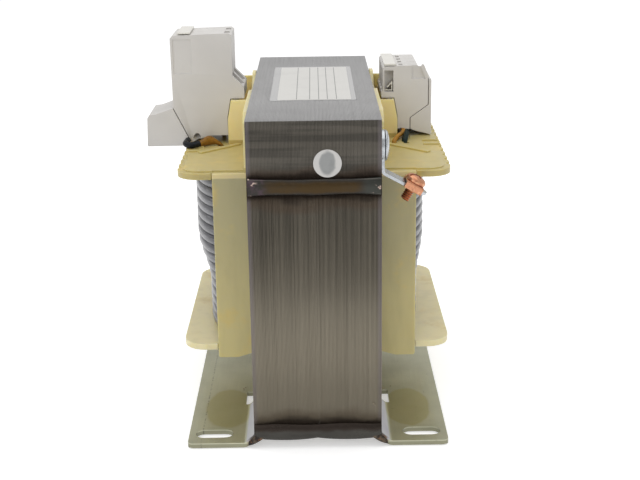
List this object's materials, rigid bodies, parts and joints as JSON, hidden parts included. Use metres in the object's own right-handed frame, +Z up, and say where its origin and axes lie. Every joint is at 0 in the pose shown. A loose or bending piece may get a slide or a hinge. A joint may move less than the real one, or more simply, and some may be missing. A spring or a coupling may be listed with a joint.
{
  "type": "mains transformer",
  "caption": "Mains transformer: welded EI core on two slotted feet, moulded bobbin, exposed winding, spring-clamp terminal blocks and an earth tab.",
  "frame": {"origin": "centre of the bounding box at the underside of the two feet", "axes": "+X across the lamination stack towards the four-pole terminal block and the earth tab, +Y along the core away from the earth tab, +Z up"},
  "size_m": [0.1254, 0.154, 0.1521],
  "materials": {
    "lamination_steel": "varnished laminations, satin",
    "weld_metal": "welded bead with heat tint",
    "bobbin_nylon": "natural moulded nylon, slightly translucent",
    "insulating_board": "smooth moulded wall",
    "winding_enamel": "dark enamelled turns, glossy",
    "insulating_paper": "wrapped insulation",
    "zinc_sheet": "yellow-olive zinc plate",
    "bright_zinc": "bright zinc plate",
    "copper_plate": "copper plate, bright",
    "terminal_nylon": "light grey moulded nylon",
    "marker_card": "blank marker strip",
    "spring_steel": "spring clamp, bright",
    "wire_enamel": "amber enamelled wire",
    "black_sleeve": "insulating sleeve, satin",
    "label_film": "blank film label",
    "silver_foil": "blank foil sticker"
  },
  "bodies": {
    "root": {"e_core_left": "lamination_steel", "e_core_right": "lamination_steel", "i_core_left": "lamination_steel", "i_core_right": "lamination_steel", "weld_front_joint": "weld_metal", "weld_front_base": "weld_metal", "weld_rear_joint": "weld_metal", "weld_rear_base": "weld_metal", "bobbin": "bobbin_nylon", "front_insulating_wall": "insulating_board", "rear_insulating_wall": "insulating_board", "primary_winding": "winding_enamel", "interwinding_insulation": "insulating_paper", "secondary_winding": "winding_enamel", "mounting_bracket_left": "zinc_sheet", "mounting_bracket_right": "zinc_sheet", "earth_tab": "bright_zinc", "earth_rivet": "bright_zinc", "earth_screw": "copper_plate", "earth_clamp_washer": "copper_plate", "secondary_terminal_pole_1": "terminal_nylon", "secondary_terminal_pole_2": "terminal_nylon", "secondary_terminal_end_plate": "terminal_nylon", "secondary_terminal_cover": "terminal_nylon", "secondary_marker_strip": "marker_card", "secondary_terminal_clamp_1": "spring_steel", "secondary_terminal_clamp_2": "spring_steel", "primary_terminal_pole_1": "terminal_nylon", "primary_terminal_pole_2": "terminal_nylon", "primary_terminal_pole_3": "terminal_nylon", "primary_terminal_pole_4": "terminal_nylon", "primary_terminal_end_plate": "terminal_nylon", "primary_terminal_cover": "terminal_nylon", "primary_marker_strip": "marker_card", "primary_terminal_clamp_1": "spring_steel", "primary_terminal_clamp_2": "spring_steel", "primary_terminal_clamp_3": "spring_steel", "primary_terminal_clamp_4": "spring_steel", "secondary_lead_1": "wire_enamel", "secondary_lead_2": "wire_enamel", "primary_lead_1": "wire_enamel", "primary_lead_3": "wire_enamel", "primary_lead_4": "wire_enamel", "secondary_sleeve": "black_sleeve", "primary_sleeve": "black_sleeve", "rating_label": "label_film", "inspection_sticker": "silver_foil"}
  },
  "joints": []
}
